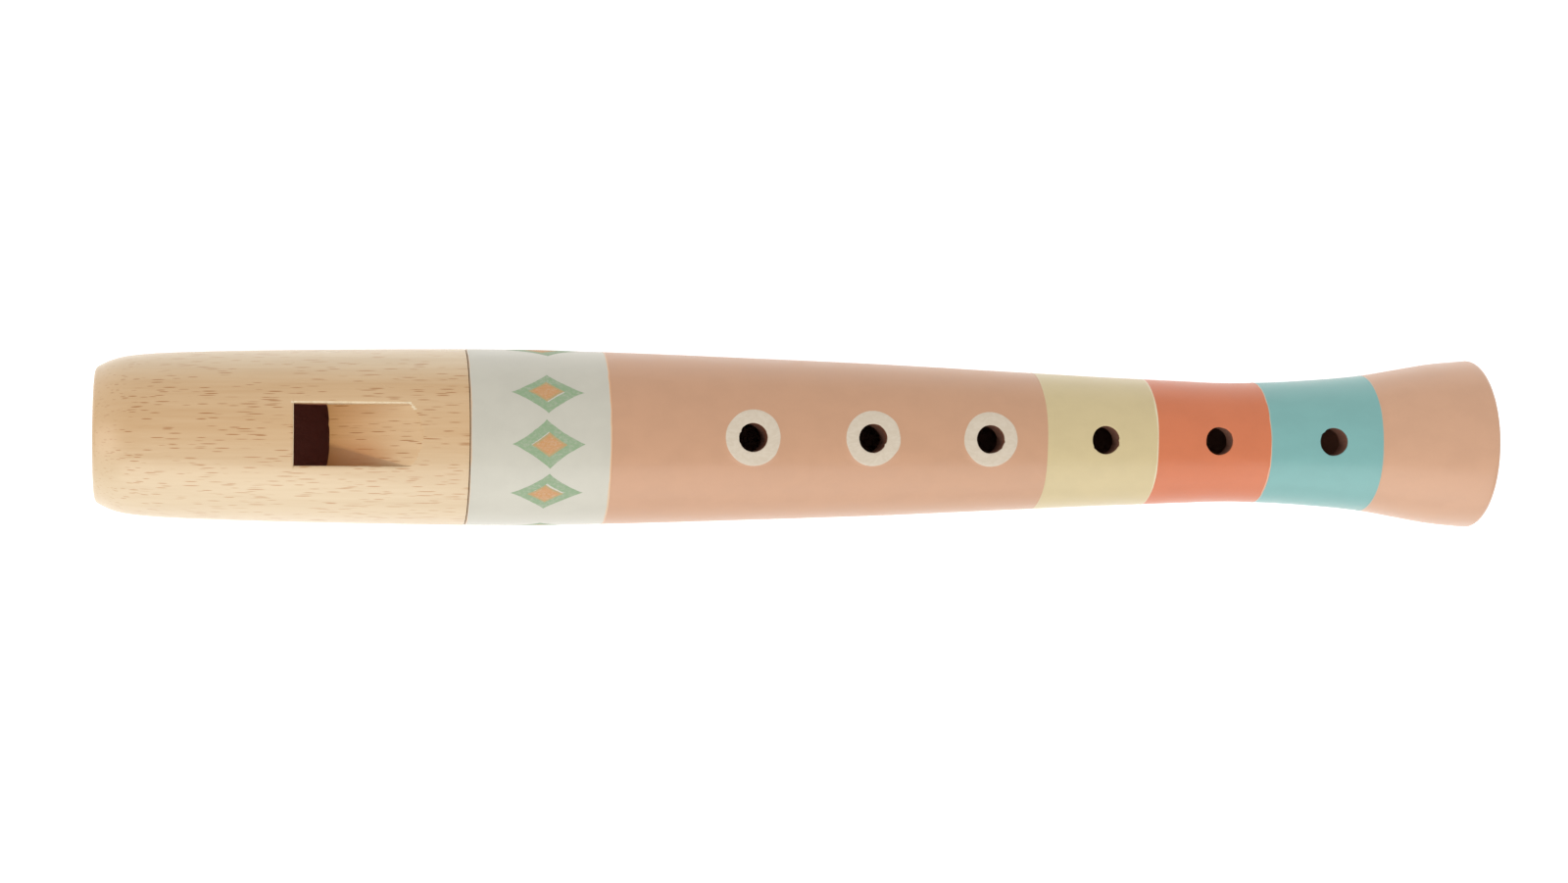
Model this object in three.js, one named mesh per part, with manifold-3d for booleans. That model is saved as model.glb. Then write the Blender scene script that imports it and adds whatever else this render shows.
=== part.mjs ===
// A child's wooden soprano recorder: a plain beech head joint with its windway block, and a painted
// one-piece body joint with a cork-lapped tenon. It lies on its back, finger holes up.
// Row frame, in millimetres: +X along the bore towards the bell, +Y across it, +Z up through the finger
// holes. The origin is on the table, under the middle of the recorder.
// Every piece is modelled in the bore frame first: x is the distance from the mouth end, and z is the
// height above the bore's axis.

import * as THREE from "three";
import { mergeVertices } from "three/addons/utils/BufferGeometryUtils.js";
import Module from "manifold-3d";

const wasm = await Module();
wasm.setup();

// Driving dimensions.
const LENGTH = 210;
const GREATEST_RADIUS = 13; // of the bell rim; the head end of the body is a hair less
const SEAM = 53; // where the head joint ends and the painted body begins
const SEAM_GAP = 0.12;
const FACETS = 28; // a multiple of four, so flats face up, down and to both sides
const FLAT_TO_CORNER = 1 / Math.cos(Math.PI / FACETS); // puts the flats of an outside on its true radius

// Head joint.
const HEAD_BORE = 6;
const SHOULDER_RADIUS = 12.98; // outside of head and body where they meet
const TIP_FACE_RADIUS = 9.2;
const WINDOW_START = 28.1;
const LABIUM = 32.9; // edge that splits the air
const LABIUM_TOP = 6.3;
const LABIUM_UNDERSIDE = 5.9;
const LABIUM_LENGTH = 2.6; // of the flat underside behind the edge
const RAMP_END = 46.3; // where the ramp runs out of the turned surface
const RAMP_END_HEIGHT = 12.88; // height of the flats there
const WINDOW_HALF_WIDTH = 4.45;
const WINDWAY_FLOOR = 5.3;
const WINDWAY_CEILING = 6.5;
const BEAK_DRUM_RADIUS = 42; // the underside of the mouthpiece is hollowed on a sanding drum
const BEAK_DRUM_ARC = 75; // degrees of the drum on each side of its top that the cutter has
const BEAK_TIP_HEIGHT = -1.2; // underside of the mouthpiece at its tip

// Joint between head and body.
const SOCKET_START = 42;
const SOCKET_RADIUS = 9.1;
const TENON_START = SOCKET_START + 0.3;
const TENON_RADIUS = 8.8;
const LAPPING_START = 44.5; // shallow recess that the cork is glued in
const LAPPING_END = 51.5;
const LAPPING_RADIUS = 8;
const CORK_RADIUS = 8.95;
const FIT_GAP = 0.1; // between pieces that are pressed or glued together

// Body joint.
const BODY_BORE = 6;
const BELL_CONE_START = 199;
const BELL_MOUTH_RADIUS = 8.2;
const RIM_ROUND = 1.3;
const EDGE_BREAK = 0.25; // sanded corner on both sides of the seam
const FINGER_HOLE_RADIUS = 2.08;
const FIRST_FINGER_HOLE = 94.3;
const FINGER_HOLE_PITCH = 18;
const FINGER_HOLES = 6;
const THUMB_HOLE = 86.5;
const THUMB_HOLE_RADIUS = 2.3;
const HOLE_SIDES = 20;
const CURVE_STEPS = 48; // in the drum's arc and along the body's outline
const HEAD_STEPS = 26; // along the head's outline
const RIM_STEPS = 4; // round the bell's rim
const BEYOND = 20; // how far a cutter reaches past the surface
const OVERRUN = 1; // how far a cutter starts outside the piece it cuts

const beech = new THREE.MeshStandardMaterial({ color: 0xe2c49a, roughness: 0.5, metalness: 0 });
const blockBeech = new THREE.MeshStandardMaterial({ color: 0xd8b68a, roughness: 0.6, metalness: 0 });
const rosePaint = new THREE.MeshStandardMaterial({ color: 0xd9a586, roughness: 0.45, metalness: 0 });
const cork = new THREE.MeshStandardMaterial({ color: 0xb98a5a, roughness: 0.9, metalness: 0 });

// Turns a profile of [x, radius] points about the bore axis. Flats face straight up and down.
function turned(profile) {
  const points = profile.map(([x, radius]) => new THREE.Vector2(radius, x));
  return new THREE.LatheGeometry(points, FACETS, Math.PI / FACETS).rotateZ(-Math.PI / 2);
}

// The points of an outside profile: its flats, not its corners, lie on the true radius.
function outside(profile) {
  return profile.map(([x, radius]) => [x, radius * FLAT_TO_CORNER]);
}

// A smooth curve through a few hand-picked [x, radius] points, sampled evenly.
function flowing(points, samples) {
  const curve = new THREE.SplineCurve(points.map(([x, radius]) => new THREE.Vector2(x, radius)));
  return curve.getSpacedPoints(samples).map((p) => [p.x, p.y]);
}

function boxBetween([x0, x1], [y0, y1], [z0, z1]) {
  const box = new THREE.BoxGeometry(x1 - x0, y1 - y0, z1 - z0);
  return box.translate((x0 + x1) / 2, (y0 + y1) / 2, (z0 + z1) / 2);
}

// A side-view outline of (x, z), carried across the recorder from -halfWidth to halfWidth.
function across(outline, halfWidth) {
  const slab = new THREE.ExtrudeGeometry(outline, {
    depth: 2 * halfWidth,
    bevelEnabled: false,
    curveSegments: CURVE_STEPS,
  });
  return slab.rotateX(Math.PI / 2).translate(0, halfWidth, 0);
}

function solidOf(geometry) {
  const bare = geometry.clone();
  bare.deleteAttribute("normal");
  bare.deleteAttribute("uv");
  const merged = mergeVertices(bare, 1e-4);
  return new wasm.Manifold(
    new wasm.Mesh({
      numProp: 3,
      vertProperties: merged.attributes.position.array,
      triVerts: new Uint32Array(merged.index.array),
    }),
  );
}

function geometryOf(solid) {
  const { vertProperties, triVerts } = solid.getMesh();
  const geometry = new THREE.BufferGeometry();
  geometry.setAttribute("position", new THREE.BufferAttribute(new Float32Array(vertProperties), 3));
  geometry.setIndex(new THREE.BufferAttribute(new Uint32Array(triVerts), 1));
  geometry.computeVertexNormals();
  return geometry;
}

function cutFrom(geometry, cutters) {
  const left = cutters.reduce((solid, cutter) => solid.subtract(solidOf(cutter)), solidOf(geometry));
  return geometryOf(left);
}

function joined(first, second) {
  return geometryOf(solidOf(first).add(solidOf(second)));
}

// The sanding drum that hollows the underside of the mouthpiece, through head joint and block alike.
function beakDrum() {
  const centre = BEAK_TIP_HEIGHT - BEAK_DRUM_RADIUS;
  const start = THREE.MathUtils.degToRad(90 - BEAK_DRUM_ARC);
  const outline = new THREE.Shape();
  outline.absarc(-OVERRUN, centre, BEAK_DRUM_RADIUS, start, Math.PI - start);
  outline.closePath();
  return across(outline, BEYOND);
}

function headOutline() {
  return flowing(
    [
      [0.4, 9.9],
      [1.3, 10.4],
      [3, 11.05],
      [5.4, 11.55],
      [10, 11.93],
      [20, 12.32],
      [30, 12.58],
      [42, 12.82],
      [SEAM - EDGE_BREAK, SHOULDER_RADIUS],
    ],
    HEAD_STEPS,
  );
}

function windowRamp() {
  const slope = (RAMP_END_HEIGHT - LABIUM_TOP) / (RAMP_END - LABIUM);
  const outline = new THREE.Shape([
    new THREE.Vector2(LABIUM - OVERRUN, LABIUM_TOP - OVERRUN * slope),
    new THREE.Vector2(RAMP_END + OVERRUN, RAMP_END_HEIGHT + OVERRUN * slope),
    new THREE.Vector2(RAMP_END + OVERRUN, BEYOND),
    new THREE.Vector2(LABIUM - OVERRUN, BEYOND),
  ]);
  return across(outline, WINDOW_HALF_WIDTH);
}

// Beech tube with the windway cut into its ceiling, the window, the ramp up from the labium and the beak.
function headJoint() {
  const tube = turned([
    [0, HEAD_BORE],
    ...outside([[0, TIP_FACE_RADIUS], ...headOutline(), [SEAM, SHOULDER_RADIUS - EDGE_BREAK]]),
    [SEAM, SOCKET_RADIUS],
    [SOCKET_START, SOCKET_RADIUS],
    [SOCKET_START, HEAD_BORE],
    [0, HEAD_BORE],
  ]);
  const width = [-WINDOW_HALF_WIDTH, WINDOW_HALF_WIDTH];
  return cutFrom(tube, [
    boxBetween([-OVERRUN, WINDOW_START + OVERRUN], width, [0, WINDWAY_CEILING]),
    boxBetween([WINDOW_START, LABIUM], width, [0, BEYOND]),
    boxBetween([LABIUM - OVERRUN, LABIUM + LABIUM_LENGTH], width, [0, LABIUM_UNDERSIDE]),
    windowRamp(),
    beakDrum(),
  ]);
}

// Plug that closes the bore under the windway: a dowel with a raised tongue whose flat top is the
// windway's floor.
function windwayBlock() {
  const radius = HEAD_BORE - FIT_GAP;
  const dowel = turned([
    [0, 0],
    [0, radius],
    [WINDOW_START, radius],
    [WINDOW_START, 0],
  ]);
  const halfWidth = WINDOW_HALF_WIDTH - FIT_GAP;
  const tongue = boxBetween([0, WINDOW_START], [-halfWidth, halfWidth], [0, WINDWAY_FLOOR]);
  const along = [-OVERRUN, WINDOW_START + OVERRUN];
  const overhead = boxBetween(along, [-BEYOND, BEYOND], [WINDWAY_FLOOR, BEYOND]);
  return cutFrom(joined(dowel, tongue), [overhead, beakDrum()]);
}

function bodyOutline() {
  return flowing(
    [
      [SEAM + SEAM_GAP + EDGE_BREAK, SHOULDER_RADIUS],
      [60, 12.98],
      [75, 12.74],
      [95, 12.14],
      [115, 11.46],
      [135, 10.52],
      [152, 9.78],
      [163, 9.35],
      [170, 9.15],
      [176, 9.26],
      [184, 9.74],
      [191.6, 10.45],
      [199, 11.7],
      [204, 12.5],
      [LENGTH - RIM_ROUND, GREATEST_RADIUS],
    ],
    CURVE_STEPS,
  );
}

// The quarter round of the bell rim, after the outline's last point.
function rimRound() {
  const centreX = LENGTH - RIM_ROUND;
  const centreRadius = GREATEST_RADIUS - RIM_ROUND;
  return Array.from({ length: RIM_STEPS }, (_, i) => {
    const angle = (Math.PI / 2) * (1 - (i + 1) / RIM_STEPS);
    return [centreX + RIM_ROUND * Math.cos(angle), centreRadius + RIM_ROUND * Math.sin(angle)];
  });
}

// A round cutter standing on the bore axis at x, pointing up for a finger hole or down for the thumb hole.
function holeCutter(x, radius, direction) {
  const drill = new THREE.CylinderGeometry(radius, radius, BEYOND, HOLE_SIDES).rotateX(Math.PI / 2);
  return drill.translate(x, 0, (direction * BEYOND) / 2);
}

// One turning from tenon to bell, with its bore, finger holes and thumb hole.
function bodyJoint() {
  const shoulder = SEAM + SEAM_GAP;
  const turning = turned([
    [TENON_START, BODY_BORE],
    [TENON_START, TENON_RADIUS],
    [LAPPING_START, TENON_RADIUS],
    [LAPPING_START, LAPPING_RADIUS],
    [LAPPING_END, LAPPING_RADIUS],
    [LAPPING_END, TENON_RADIUS],
    [shoulder, TENON_RADIUS],
    ...outside([[shoulder, SHOULDER_RADIUS - EDGE_BREAK], ...bodyOutline(), ...rimRound()]),
    [LENGTH, BELL_MOUTH_RADIUS],
    [BELL_CONE_START, BODY_BORE],
    [TENON_START, BODY_BORE],
  ]);
  const holes = [holeCutter(THUMB_HOLE, THUMB_HOLE_RADIUS, -1)];
  for (let i = 0; i < FINGER_HOLES; i++) {
    holes.push(holeCutter(FIRST_FINGER_HOLE + i * FINGER_HOLE_PITCH, FINGER_HOLE_RADIUS, 1));
  }
  return cutFrom(turning, holes);
}

// Cork sleeve in the tenon's recess; it grips the socket.
function tenonCork() {
  const start = LAPPING_START + FIT_GAP;
  const end = LAPPING_END - FIT_GAP;
  const inner = LAPPING_RADIUS + FIT_GAP;
  return turned([
    [start, inner],
    [start, CORK_RADIUS],
    [end, CORK_RADIUS],
    [end, inner],
    [start, inner],
  ]);
}

const recorder = new THREE.Group();
recorder.position.set(-LENGTH / 2, 0, GREATEST_RADIUS);

function addPiece(name, geometry, material, parent = recorder) {
  const mesh = new THREE.Mesh(geometry, material);
  mesh.name = name;
  parent.add(mesh);
  return mesh;
}

addPiece("head_joint", headJoint(), beech);
addPiece("windway_block", windwayBlock(), blockBeech);
addPiece("body_joint", bodyJoint(), rosePaint);
addPiece("tenon_cork", tenonCork(), cork);

const part = new THREE.Group();
part.add(recorder);

export default part;
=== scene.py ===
import math

import bmesh
import bpy
import numpy as np
from mathutils import Matrix, Vector


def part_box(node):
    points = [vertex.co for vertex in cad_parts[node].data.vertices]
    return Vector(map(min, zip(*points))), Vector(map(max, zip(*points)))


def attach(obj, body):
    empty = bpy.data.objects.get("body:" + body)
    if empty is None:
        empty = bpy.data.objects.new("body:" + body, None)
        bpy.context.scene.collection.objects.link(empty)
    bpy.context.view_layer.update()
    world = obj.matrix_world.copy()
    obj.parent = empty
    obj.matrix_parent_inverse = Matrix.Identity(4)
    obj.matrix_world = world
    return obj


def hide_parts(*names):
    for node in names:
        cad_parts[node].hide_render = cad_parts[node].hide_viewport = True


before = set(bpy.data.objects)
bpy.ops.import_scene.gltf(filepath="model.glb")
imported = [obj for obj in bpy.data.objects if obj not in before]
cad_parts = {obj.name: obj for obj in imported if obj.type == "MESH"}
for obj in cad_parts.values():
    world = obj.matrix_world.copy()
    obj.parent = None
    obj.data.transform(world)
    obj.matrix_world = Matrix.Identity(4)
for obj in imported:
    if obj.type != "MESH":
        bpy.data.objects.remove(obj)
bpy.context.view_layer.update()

# Shapes are worked out in the bore frame, in millimetres: s is the distance from the mouth end
# along the bore, y goes across, and h is the height above the bore's axis, with the window and
# the finger holes on top.
MM = 0.001
MOUTH_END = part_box("head_joint")[0].x
AXIS_HEIGHT = sum(corner.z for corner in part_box("tenon_cork")) / 2
LENGTH = (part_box("body_joint")[1].x - MOUTH_END) / MM
SEAM = (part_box("head_joint")[1].x - MOUTH_END) / MM
SHOULDER = SEAM + 0.12  # where the body's outside begins
SHOULDER_RADIUS = 12.97
BODY_BORE = 6.0
CREASE_ANGLE = 38  # degrees between two faces above which their edge is sharp
SAME_POINT = 0.001  # vertices closer than this are merged
SAME_PLACE = 1e-6  # slack when two places along the bore are compared


# ---- surfaces

def flowing(points, at):
    """Monotone cubic through (place, radius) points. A point's slope is the harmonic mean of the
    slopes of the two chords that meet there, or nothing where they differ in sign, so the curve
    never swings past its points."""
    place, radius = np.array(points, float).T
    chord = np.diff(radius) / np.diff(place)
    product = chord[:-1] * chord[1:]
    total = np.where(product > 0, chord[:-1] + chord[1:], 1)
    slope = np.concatenate([chord[:1], np.where(product > 0, 2 * product / total, 0), chord[-1:]])
    i = np.clip(np.searchsorted(place, at) - 1, 0, len(chord) - 1)
    width = place[i + 1] - place[i]
    t = np.clip((at - place[i]) / width, 0, 1)
    start = (1 + 2 * t) * (1 - t) ** 2 * radius[i] + t * (1 - t) ** 2 * width * slope[i]
    end = t ** 2 * (3 - 2 * t) * radius[i + 1] + t ** 2 * (t - 1) * width * slope[i + 1]
    return start + end


def wander(count, size, waves, rng):
    """A closed wavy line of count values: sines of 1 to waves periods with random phases, each
    weaker than the last."""
    turn = np.linspace(0, 2 * np.pi, count, endpoint=False)
    order = np.arange(1, waves + 1)[:, None]
    phase = rng.uniform(0, 2 * np.pi, (waves, 1))
    strength = rng.normal(0, 1, (waves, 1)) / np.sqrt(order)
    return size * (strength * np.sin(order * turn + phase)).sum(0) / np.sqrt(waves)


def quads(rows, columns, wrap=True):
    """The four corner numbers of every cell of a grid of vertices, row after row. wrap closes each
    row on itself."""
    i, j = np.meshgrid(np.arange(rows - 1), np.arange(columns if wrap else columns - 1), indexing="ij")
    k = (j + 1) % columns
    here, there = i * columns, (i + 1) * columns
    return np.stack([here + j, here + k, there + k, there + j], -1).reshape(-1, 4)


def turned(path, angles):
    """A surface of revolution: each (s, radius) of the path goes round the axis at every angle from
    the top."""
    s, radius = np.array(path, float).T
    ring = np.stack([np.ones_like(angles), np.sin(angles), np.cos(angles)], -1)
    return np.stack([s, radius, radius], -1)[:, None, :] * ring[None]


def quarter(centre, radius, start, end, steps):
    """Points of a round corner in the (s, radius) plane: an arc about centre from angle start to
    angle end, in degrees."""
    turn = np.radians(np.linspace(start, end, steps))
    return np.stack([centre[0] + radius * np.cos(turn), centre[1] + radius * np.sin(turn)], -1)


class Skin:
    """Patches of vertices and quads, each with one finish, welded into one closed piece."""

    def __init__(self):
        self.points, self.cells, self.finishes = [], [], []
        self.count = 0

    def add(self, grid, finish=0, keep=None, wrap=True):
        """Adds a grid of points (rows, columns, 3). finish is a number, or one for each cell. keep
        picks cells."""
        rows, columns = grid.shape[:2]
        cells = quads(rows, columns, wrap)
        finish = np.broadcast_to(finish, len(cells)) if np.ndim(finish) < 2 else finish.reshape(-1)
        if keep is not None:
            cells, finish = cells[keep.reshape(-1)], finish[keep.reshape(-1)]
        self.points.append(grid.reshape(-1, 3))
        self.cells.append(cells + self.count)
        self.finishes.append(finish)
        self.count += rows * columns

    def piece(self, name, materials):
        """The finished object, in metres in the row frame, with its doubles merged and its faces
        turned outwards."""
        points = np.concatenate(self.points) * MM + np.array([MOUTH_END, 0, AXIS_HEIGHT])
        cells = np.concatenate(self.cells)
        mesh = bpy.data.meshes.new(name)
        mesh.from_pydata(points, [], cells.tolist())
        for material in materials:
            mesh.materials.append(material)
        mesh.polygons.foreach_set("material_index", np.concatenate(self.finishes).astype(np.int32))
        weld(mesh)
        smooth(mesh)
        piece = bpy.data.objects.new(name, mesh)
        bpy.context.scene.collection.objects.link(piece)
        return piece


def weld(mesh):
    """Merges vertices that coincide, removes the cells that this closes up, and turns the faces
    outwards."""
    work = bmesh.new()
    work.from_mesh(mesh)
    bmesh.ops.remove_doubles(work, verts=work.verts, dist=SAME_POINT * MM)
    bmesh.ops.dissolve_degenerate(work, edges=work.edges, dist=0.5 * SAME_POINT * MM)
    bmesh.ops.recalc_face_normals(work, faces=work.faces)
    work.to_mesh(mesh)
    work.free()


def smooth(mesh):
    """Smooth shading, with a crease where two faces meet at more than the crease angle."""
    mesh.polygons.foreach_set("use_smooth", np.ones(len(mesh.polygons), bool))
    mesh.set_sharp_from_angle(angle=math.radians(CREASE_ANGLE))


def cut(piece, cutter):
    """Takes the closed cutter out of the piece, and removes the cutter."""
    modifier = piece.modifiers.new("cut", "BOOLEAN")
    modifier.operation = "DIFFERENCE"
    modifier.solver = "EXACT"
    modifier.object = cutter
    bpy.context.view_layer.update()
    done = bpy.data.meshes.new_from_object(piece.evaluated_get(bpy.context.evaluated_depsgraph_get()))
    piece.modifiers.clear()
    piece.data = done
    bpy.data.objects.remove(cutter)
    smooth(done)


# ---- finishes

STUDIO_LIGHT = 1.3  # how far the studio's light lifts a surface above its own colour
STUDIO_SHEEN = 0.03  # what the reflection of the white room adds to it


def linear(red, green, blue):
    """The linear base colour of a surface that looks, in the studio's light, like this sRGB colour
    of 0 to 255."""
    value = np.array([red, green, blue]) / 255
    value = np.where(value <= 0.04045, value / 12.92, ((value + 0.055) / 1.055) ** 2.4)
    return tuple(np.clip((value - STUDIO_SHEEN) / STUDIO_LIGHT, 0.002, 1.0)) + (1.0,)


class Finish:
    """A material that is mixed from nodes. Each method adds nodes and gives the socket that comes
    out."""

    def __init__(self, name, roughness=0.5, specular=0.5):
        self.material = bpy.data.materials.new(name)
        self.material.use_nodes = True
        self.tree = self.material.node_tree
        self.tree.nodes.clear()
        self.shader = self.add("ShaderNodeBsdfPrincipled")
        self.shader.inputs["Roughness"].default_value = roughness
        self.shader.inputs["Specular IOR Level"].default_value = specular
        output = self.add("ShaderNodeOutputMaterial")
        self.tree.links.new(self.shader.outputs[0], output.inputs["Surface"])
        place = self.add("ShaderNodeTexCoord").outputs["Object"]
        centred = self.vector("SUBTRACT", place, (MOUTH_END, 0, AXIS_HEIGHT))
        self.place = self.vector("SCALE", centred, scale=1 / MM)  # (s, y, h) in millimetres

    def add(self, kind, **settings):
        """A new node of this kind with these properties."""
        node = self.tree.nodes.new(kind)
        for key, value in settings.items():
            setattr(node, key, value)
        return node

    def feed(self, socket, value):
        """Links another socket to this one, or sets it to a plain value."""
        if isinstance(value, bpy.types.NodeSocket):
            self.tree.links.new(value, socket)
        else:
            socket.default_value = value

    def vector(self, operation, a, b=None, scale=None):
        """One operation on vectors. LENGTH gives a number, and the others a vector."""
        node = self.add("ShaderNodeVectorMath", operation=operation)
        self.feed(node.inputs[0], a)
        if b is not None:
            self.feed(node.inputs[1], b)
        if scale is not None:
            self.feed(node.inputs["Scale"], scale)
        return node.outputs["Value" if operation == "LENGTH" else "Vector"]

    def math(self, operation, a, b=0.0, clamp=False):
        """One operation on numbers."""
        node = self.add("ShaderNodeMath", operation=operation, use_clamp=clamp)
        for socket, value in zip(node.inputs, (a, b)):
            self.feed(socket, value)
        return node.outputs[0]

    def axes(self):
        """The s, y and h sockets."""
        node = self.add("ShaderNodeSeparateXYZ")
        self.feed(node.inputs[0], self.place)
        return node.outputs

    def stretched(self, along, across, up):
        """The place measured in units of along, across and up millimetres, for patterns longer one
        way than another."""
        return self.vector("DIVIDE", self.place, (along, across, up))

    def noise(self, size, detail=3.0, roughness=0.55, distortion=0.0):
        """Noise from 0 to 1 whose features are about size (along, across, up) millimetres."""
        node = self.add("ShaderNodeTexNoise")
        self.feed(node.inputs["Vector"], self.stretched(*size))
        inputs = {"Scale": 1.0, "Detail": detail, "Roughness": roughness, "Distortion": distortion}
        for key, value in inputs.items():
            node.inputs[key].default_value = value
        return node.outputs["Fac"]

    def cells(self, where):
        """Distance to the nearest of scattered points, one to a unit cell, and that point's random
        colour."""
        node = self.add("ShaderNodeTexVoronoi")
        self.feed(node.inputs["Vector"], where)
        node.inputs["Scale"].default_value = 1.0
        return node.outputs["Distance"], node.outputs["Color"]

    def between(self, value, low, high, out_low=0.0, out_high=1.0):
        """Rises smoothly from out_low to out_high as the value goes from low to high. low may be
        above high."""
        node = self.add("ShaderNodeMapRange", interpolation_type="SMOOTHSTEP")
        names = ("From Min", "From Max", "To Min", "To Max")
        for key, number in zip(names, (low, high, out_low, out_high)):
            node.inputs[key].default_value = number
        self.feed(node.inputs["Value"], value)
        return node.outputs["Result"]

    def mix(self, share, a, b):
        """The colour a where share is 0, b where it is 1, and evenly between."""
        node = self.add("ShaderNodeMix", data_type="RGBA")
        self.feed(node.inputs["Factor"], share)
        self.feed(node.inputs["A"], a)
        self.feed(node.inputs["B"], b)
        return node.outputs["Result"]

    def done(self, colour, roughness=None, relief=None, depth=0.02):
        """Joins colour, roughness and a relief, whose full swing is depth millimetres, to the
        shader."""
        self.feed(self.shader.inputs["Base Color"], colour)
        if roughness is not None:
            self.feed(self.shader.inputs["Roughness"], roughness)
        if relief is not None:
            bump = self.add("ShaderNodeBump")
            bump.inputs["Strength"].default_value = 1.0
            bump.inputs["Distance"].default_value = depth * MM
            self.feed(bump.inputs["Height"], relief)
            self.feed(self.shader.inputs["Normal"], bump.outputs[0])
        return self.material


# The layers of flecks in beech: each one's (length, width, offset, rarity).
FLECK_LAYERS = ((5.8, 0.42, 0.0, 0.5), (4.4, 0.36, 11.3, 0.6), (7.6, 0.4, 27.7, 0.66))
# The ramp's pale, tan and dark wood, each as (at the thin edge, where it runs out).
RAMP_TONES = (
    ((208, 160, 108), (210, 176, 135)),
    ((196, 148, 96), (202, 166, 123)),
    ((150, 98, 52), (150, 98, 52)),
)


def beech_tone(finish, pale, tan, dark):
    """Beech: broad soft growth bands and fine streaks along the grain, with short thin brown ray
    flecks scattered evenly in it. Gives the colour and the flecks' mask."""
    broad = finish.noise((60, 4, 7), detail=2, distortion=0.3)
    streak = finish.noise((16, 0.5, 0.7), detail=4, roughness=0.6)
    tone = finish.math("ADD", finish.math("MULTIPLY", broad, 0.6), finish.math("MULTIPLY", streak, 0.4))
    colour = finish.mix(finish.between(tone, 0.34, 0.66), tan, pale)
    drift = finish.add("ShaderNodeCombineXYZ")
    sway = finish.noise((14, 6, 6), detail=1)
    finish.feed(drift.inputs["Y"], finish.math("MULTIPLY", sway, 0.15))
    mask = 0.0
    for length, width, offset, rarity in FLECK_LAYERS:
        where = finish.vector("ADD", finish.stretched(length, width, 1.25 * width), drift.outputs[0])
        distance, chance = finish.cells(finish.vector("ADD", where, (offset, offset, offset)))
        dash = finish.between(distance, 0.24, 0.12)
        picked = finish.between(finish.vector("LENGTH", chance), rarity, rarity + 0.5)
        mask = finish.math("MAXIMUM", finish.math("MULTIPLY", dash, picked), mask)
    fleck = finish.math("MULTIPLY", mask, 0.8, clamp=True)
    return finish.mix(fleck, colour, dark), mask


def lacquered_beech():
    """The head's outside: pale beech under a thin clear satin lacquer that the grain just shows
    through as relief, with a painted sheen: paler, greyer wood along the -y side and the far +y
    edge, where the light falls."""
    finish = Finish("lacquered_beech")
    s, y, _ = finish.axes()
    # Painted sheen: the wood is paler and greyer towards the -y side and the far +y edge, where the light
    # falls on it.
    side = finish.math("MAXIMUM", finish.between(y, 1.5, -9.0), finish.between(y, 6.5, 12.0))
    pale = finish.mix(side, linear(211, 178, 138), linear(219, 197, 164))
    tan = finish.mix(side, linear(203, 167, 125), linear(210, 186, 152))
    dark = finish.mix(side, linear(160, 106, 60), linear(184, 138, 96))
    colour, mask = beech_tone(finish, pale, tan, dark)
    # The flecks are fainter where the rounded tip cuts across the grain.
    colour = finish.mix(finish.between(s, 1.0, 6.0, 0.6, 0.0), colour, pale)
    pores = finish.noise((1.6, 0.12, 0.12), detail=2)
    relief = finish.math("SUBTRACT", pores, finish.math("MULTIPLY", mask, 0.7))
    gloss = finish.between(finish.noise((20, 6, 6)), 0.3, 0.7, 0.27, 0.36)
    return finish.done(colour, gloss, relief, 0.008)


def bare_beech(name, pale):
    """Cut and unpainted beech inside the instrument, rougher and browner than the outside."""
    finish = Finish(name, specular=0.25)
    shares = (1.0, (0.92, 0.88, 0.84), (0.68, 0.58, 0.5))
    tones = [linear(*(np.array(pale) * share)) for share in shares]
    colour, mask = beech_tone(finish, *tones)
    fuzz = finish.noise((0.9, 0.1, 0.1), roughness=0.7)
    relief = finish.math("SUBTRACT", fuzz, mask)
    return finish.done(colour, finish.between(fuzz, 0.3, 0.7, 0.62, 0.8), relief, 0.03)


def shade_painted_wall(name, rim, deep, reach, bare_from=None):
    """A wall inside the instrument painted dark as shade: reddish brown by the rim and darker
    towards the bore's axis, where reach is the (lower, higher) distance from the axis between
    which it changes. Past bare_from it is plain wood."""
    finish = Finish(name, specular=0.2)
    s, y, h = finish.axes()
    across = finish.add("ShaderNodeCombineXYZ")
    finish.feed(across.inputs["Y"], y)
    finish.feed(across.inputs["Z"], h)
    fuzz = finish.noise((0.5, 0.3, 0.5), roughness=0.7)
    from_axis = finish.vector("LENGTH", across.outputs[0])
    height = finish.math("ADD", from_axis, finish.math("MULTIPLY", fuzz, 0.8))
    colour = finish.mix(finish.between(height, *reach), linear(*deep), linear(*rim))
    if bare_from is not None:
        colour = finish.mix(finish.between(s, bare_from - 1, bare_from), colour, linear(*BARE_TONE))
    return finish.done(colour, finish.between(fuzz, 0.3, 0.7, 0.6, 0.8), fuzz, 0.04)


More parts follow.
